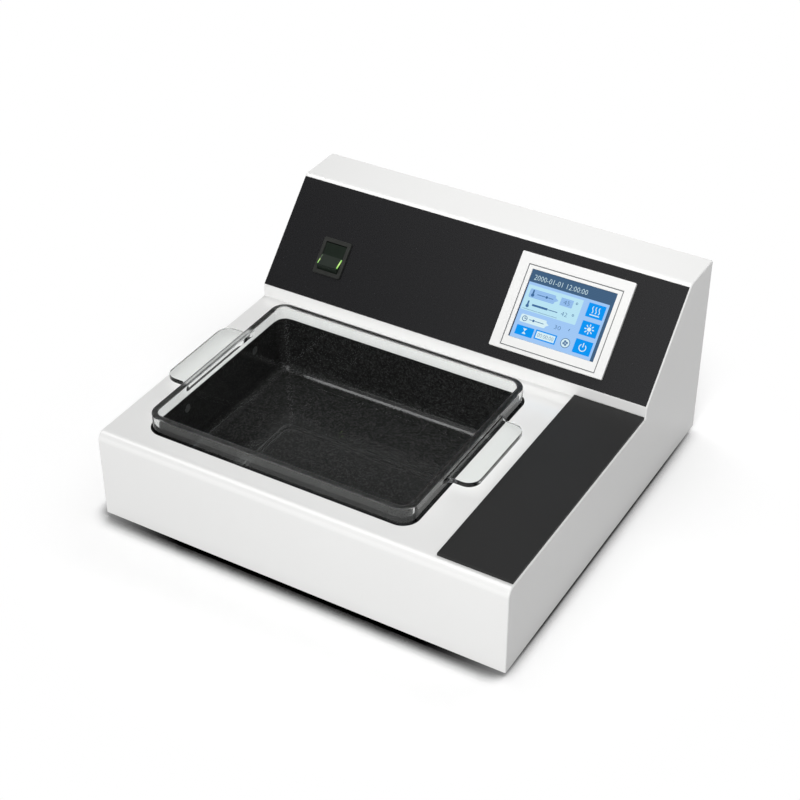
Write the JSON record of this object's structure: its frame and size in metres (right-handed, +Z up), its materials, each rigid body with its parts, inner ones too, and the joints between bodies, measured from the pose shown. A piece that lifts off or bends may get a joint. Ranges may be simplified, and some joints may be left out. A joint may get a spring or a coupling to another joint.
{
  "type": "tissue flotation bath",
  "caption": "Bench-top tissue flotation bath: a lift-out glass dish in a heated well, a slide-drying plate on the deck and a sloped console with touch screen and rocker switch.",
  "frame": {"origin": "on the bench under the middle of the housing: middle of the width and depth, at the soles of the feet", "axes": "+X to the right as the user faces the console, +Y towards the back, +Z up"},
  "size_m": [0.34, 0.327, 0.16],
  "materials": {
    "white_powder_coat": "fine satin powder coat",
    "black_overlay": "fine matt printed polycarbonate sheet",
    "white_plastic": "smooth moulded satin",
    "display": "lit liquid-crystal display behind a clear film",
    "switch_black": "smooth moulded satin",
    "rocker_smoke": "dark smoked translucent moulding",
    "green_light": "lit green light guide",
    "clear_glass": "polished moulded borosilicate glass",
    "black_anodised": "black matt hard coat",
    "lens": "diffusing polycarbonate",
    "zinc_steel": "bright zinc plate",
    "black_rubber": "matt moulded rubber",
    "grey_silicone": "silicone sponge",
    "heater_mat": "woven-glass silicone heater mat",
    "insulation": "needled glass fibre",
    "galvanised": "galvanised sheet",
    "brass_pin": "bright nickel over brass",
    "circuit_board": "green solder mask on glass epoxy",
    "component_black": "moulded component bodies",
    "fuse_glass": "glass tube with plated caps"
  },
  "bodies": {
    "base": {"housing": "white_powder_coat", "base_plate": "galvanised", "base_screws": "zinc_steel", "rubber_feet": "black_rubber", "foot_screws": "zinc_steel", "rear_panel": "white_powder_coat", "rear_screws": "zinc_steel", "earth_nuts": "zinc_steel", "heated_well": "black_anodised", "well_gasket": "grey_silicone", "well_studs": "zinc_steel", "well_nuts": "zinc_steel", "well_heater": "heater_mat", "well_insulation": "insulation", "insulation_tray": "galvanised", "tray_posts": "zinc_steel", "lamp_lenses": "lens", "lamp_boards": "circuit_board", "lamp_standoffs": "zinc_steel", "well_sensor": "zinc_steel", "sensor_clip": "galvanised", "thermal_cutout": "component_black", "slide_plate": "black_anodised", "plate_heater": "heater_mat", "plate_insulation": "insulation", "plate_clamp": "galvanised", "plate_studs": "zinc_steel", "plate_nuts": "zinc_steel", "plate_sensor": "zinc_steel", "console_overlay": "black_overlay", "screen_bezel": "white_plastic", "touch_panel": "white_plastic", "lcd_panel": "display", "display_board": "circuit_board", "display_clips": "galvanised", "display_screws": "zinc_steel", "switch_body": "switch_black", "switch_terminals": "brass_pin", "inlet_body": "switch_black", "inlet_pins": "brass_pin", "inlet_screws": "zinc_steel", "control_board": "circuit_board", "board_components": "component_black", "board_standoffs": "brass_pin", "board_screws": "zinc_steel", "power_supply": "galvanised", "supply_terminals": "component_black", "solid_state_relays": "component_black", "relay_screws": "zinc_steel"},
    "dish": {"glass_dish": "clear_glass"},
    "rocker": {"switch_rocker": "rocker_smoke", "rocker_light": "green_light"},
    "drawer": {"fuse_drawer": "switch_black", "fuses": "fuse_glass"}
  },
  "joints": [
    {"name": "dish_lift", "type": "slide", "parent": "base", "child": "dish", "axis": [0, 0, 1], "range_m": [0, 0.08]},
    {"name": "power_rocker", "type": "hinge", "parent": "base", "child": "rocker", "pos_m": [-0.1183, 0.08279, 0.11396], "axis": [1, 0, 0], "range_deg": [0, 22]},
    {"name": "fuse_drawer_slide", "type": "slide", "parent": "base", "child": "drawer", "axis": [0, 1, 0], "range_m": [0, 0.018]}
  ]
}
